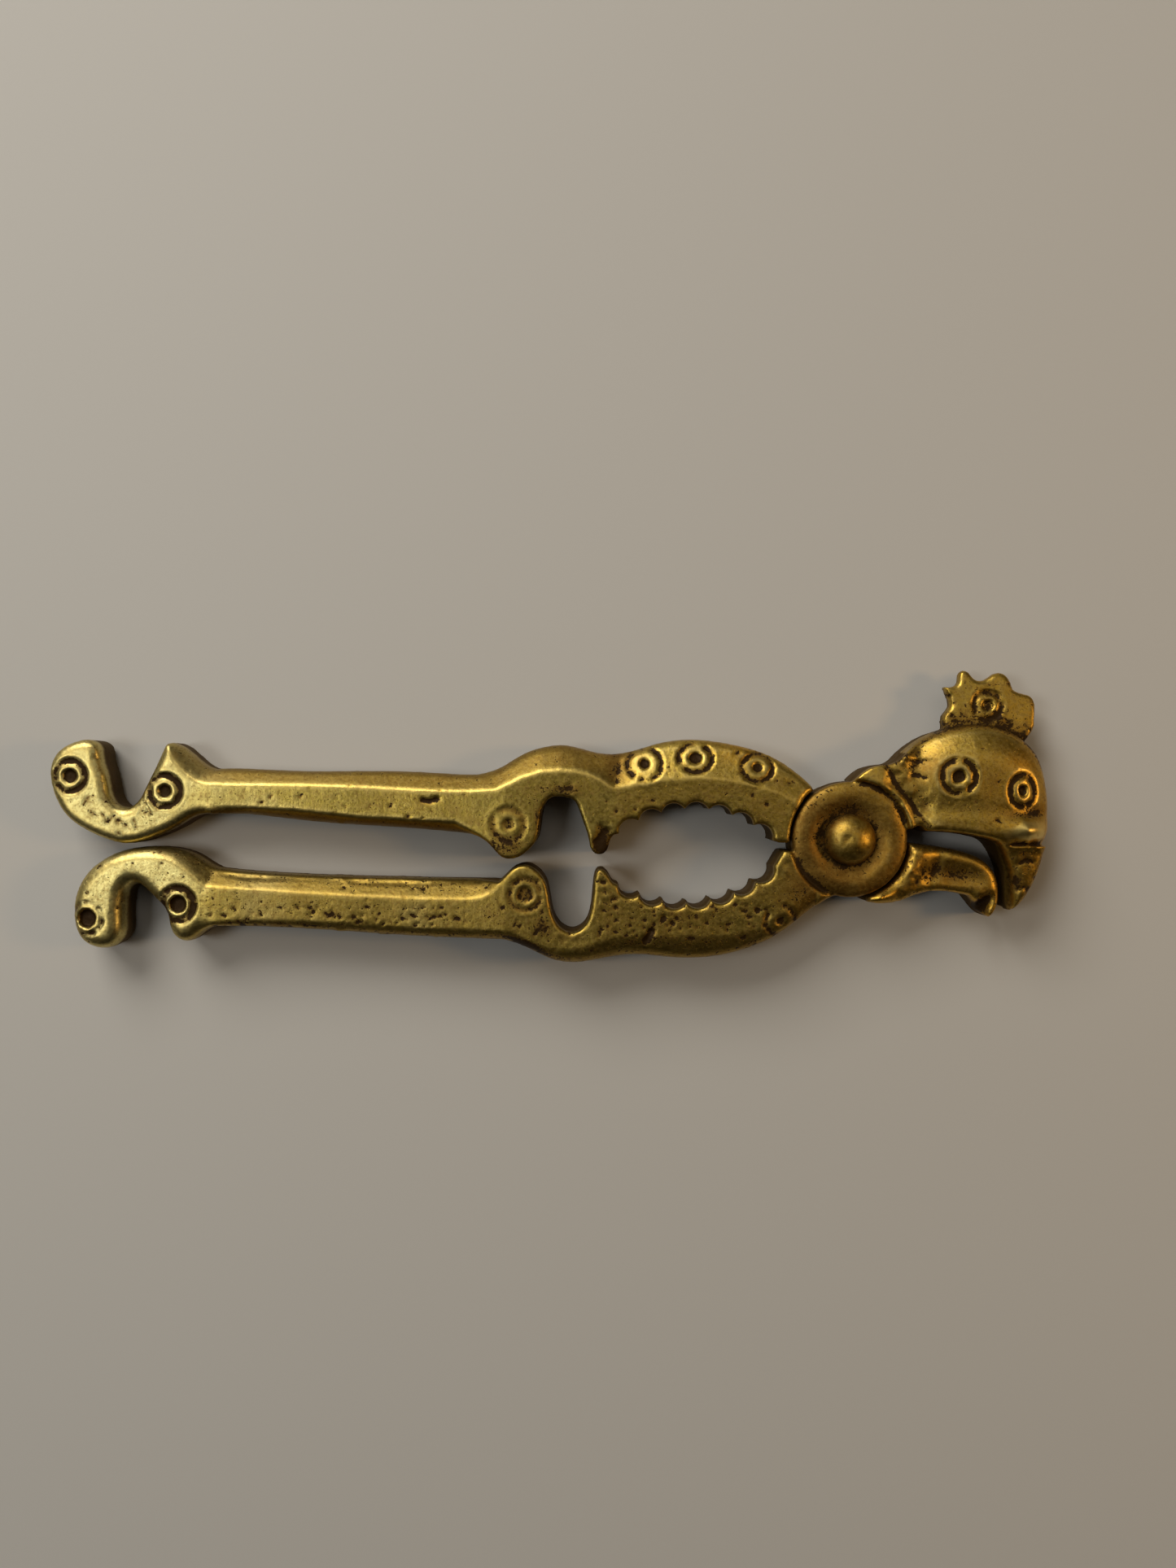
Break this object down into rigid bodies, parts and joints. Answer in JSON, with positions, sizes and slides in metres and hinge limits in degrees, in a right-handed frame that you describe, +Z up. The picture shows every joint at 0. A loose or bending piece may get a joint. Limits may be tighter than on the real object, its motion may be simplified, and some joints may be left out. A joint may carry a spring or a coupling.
{
  "type": "nutcracker",
  "caption": "Cast brass plier-type nutcracker shaped as a crested bird's head: scalloped jaws behind a riveted pivot, and a beak that opens with the handles.",
  "frame": {"origin": "where the pivot's axis meets the flat back that the nutcracker lies on", "axes": "+X from the handles' tails to the bird's beak and forehead, +Y from the lower jaw to the crest, +Z up out of the flat back, along the pivot"},
  "size_m": [0.1634, 0.0481, 0.0118],
  "materials": {
    "head_lever_brass": "aged, satin, dark patina in the hollows",
    "beak_lever_brass": "aged, satin, dark patina in the hollows",
    "rivet_brass": "aged, worn smooth on the dome"
  },
  "bodies": {
    "head_body": {"head_lever": "head_lever_brass", "pivot_rivet": "rivet_brass"},
    "beak_body": {"beak_lever": "beak_lever_brass"}
  },
  "joints": [
    {"name": "pivot", "type": "hinge", "parent": "head_body", "child": "beak_body", "pos_m": [0, 0, 0], "axis": [0, 0, -1], "range_deg": [0, 32]}
  ]
}
